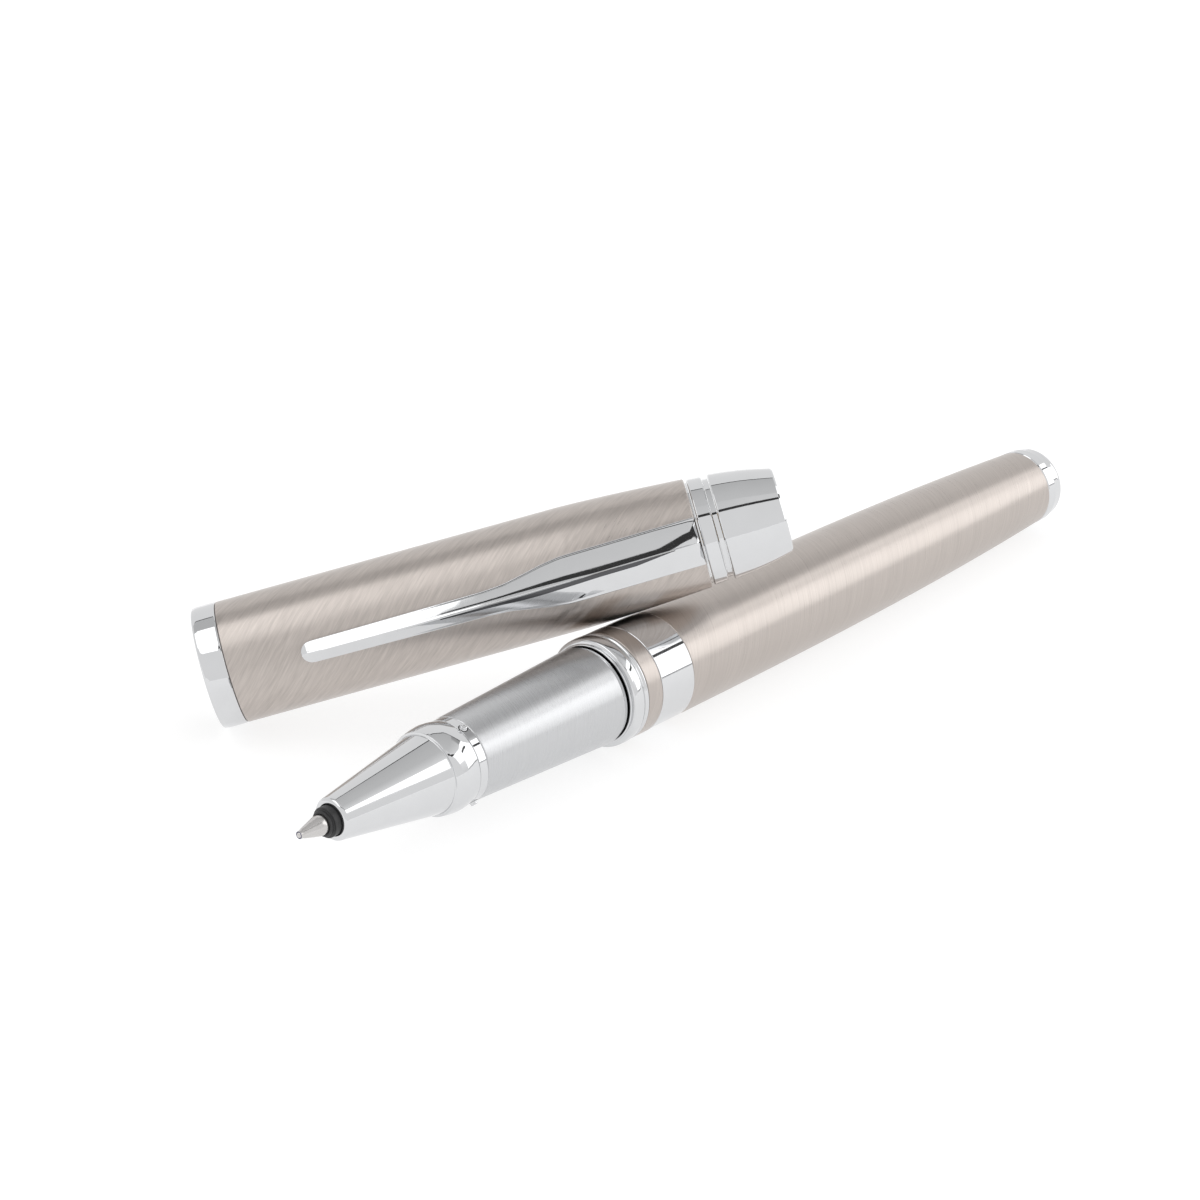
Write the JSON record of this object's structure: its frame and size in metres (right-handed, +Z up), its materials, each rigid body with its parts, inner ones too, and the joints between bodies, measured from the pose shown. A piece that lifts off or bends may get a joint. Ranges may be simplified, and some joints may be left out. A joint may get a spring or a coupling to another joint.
{
  "type": "rollerball pen",
  "caption": "Metal rollerball pen with satin barrel, brushed grip and chrome trim, lying with its cap off and leaning across the barrel; cap has a sprung pocket clip.",
  "frame": {"origin": "centre of the footprint of the pen and its cap, on the table they lie on", "axes": "+X along the pen from its writing tip to its tail, +Z up from the table"},
  "size_m": [0.1226, 0.0498, 0.0269],
  "materials": {
    "satin_metal": "finely brushed warm champagne-grey metal under a thin clear lacquer",
    "grip_metal": "cool silver metal, brushed round its axis",
    "chrome": "mirror-bright chrome plate",
    "black_plastic": "matte black moulded plastic",
    "seal_rubber": "soft black rubber",
    "brass": "plain turned brass",
    "tip_steel": "turned stainless steel",
    "refill_body": "smooth silver-grey refill tube",
    "ink_fibre": "ink-soaked bonded fibre"
  },
  "bodies": {
    "barrel": {"barrel_tube": "satin_metal", "front_ring": "chrome", "narrow_band": "satin_metal", "wide_band": "chrome", "thread_bush": "brass", "tail_bush": "black_plastic", "tail_plug": "chrome", "refill_spring": "tip_steel"},
    "washer": {"section_washer": "seal_rubber"},
    "o_ring": {"section_o_ring": "seal_rubber"},
    "section": {"grip_sleeve": "grip_metal", "section_liner": "black_plastic", "nose_cone": "chrome", "snap_ring": "chrome"},
    "refill": {"refill_tube": "refill_body", "tip_collar": "black_plastic", "tip_cone": "tip_steel", "feed_wick": "ink_fibre", "ink_reservoir": "ink_fibre", "refill_plug": "black_plastic"},
    "ball": {"ball": "tip_steel"},
    "cap": {"cap_tube": "satin_metal", "lip_ring": "chrome", "inner_cap": "black_plastic", "tip_seal": "seal_rubber", "clip_root": "chrome", "clip_collar": "chrome", "groove_ring": "chrome", "finial": "chrome", "finial_disc": "chrome", "cap_screw": "brass"},
    "clip": {"clip_blade": "chrome"}
  },
  "joints": [
    {"name": "cap_lift", "type": "slide", "parent": "barrel", "child": "cap", "axis": [0, 0, 1], "range_m": [0, 0.04]},
    {"name": "clip_flex", "type": "hinge", "parent": "cap", "child": "clip", "pos_m": [-0.00688, -0.01962, 0.02151], "axis": [0.0242, 0.3761, 0.9263], "range_deg": [0, 3], "stiffness_Nm_per_rad": 6, "springref_deg": -2.86},
    {"name": "section_pull", "type": "slide", "parent": "barrel", "child": "washer", "axis": [-0.9998, 0, 0.0219], "range_m": [0, 0.07]},
    {"name": "section_turn", "type": "hinge", "parent": "washer", "child": "o_ring", "pos_m": [-0.0174, -0.01427, 0.00608], "axis": [-0.9998, 0, 0.0219], "range_deg": [0, 2166]},
    {"name": "section_advance", "type": "slide", "parent": "o_ring", "child": "section", "axis": [-0.9998, 0, 0.0219], "range_m": [0, 0.0045]},
    {"name": "refill_float", "type": "slide", "parent": "section", "child": "refill", "axis": [0.9998, 0, -0.0219], "range_m": [0, 0.0015], "stiffness_N_per_m": 400, "springref_m": -0.002, "deforming": ["refill_spring"]},
    {"name": "ball_roll", "type": "hinge", "parent": "refill", "child": "ball", "pos_m": [-0.06094, -0.01427, 0.00703], "axis": [0, 1, 0], "continuous": true}
  ],
  "couplings": [
    {"joint": "section_turn", "follows": "section_advance", "rad_per_m": 8377.6}
  ]
}
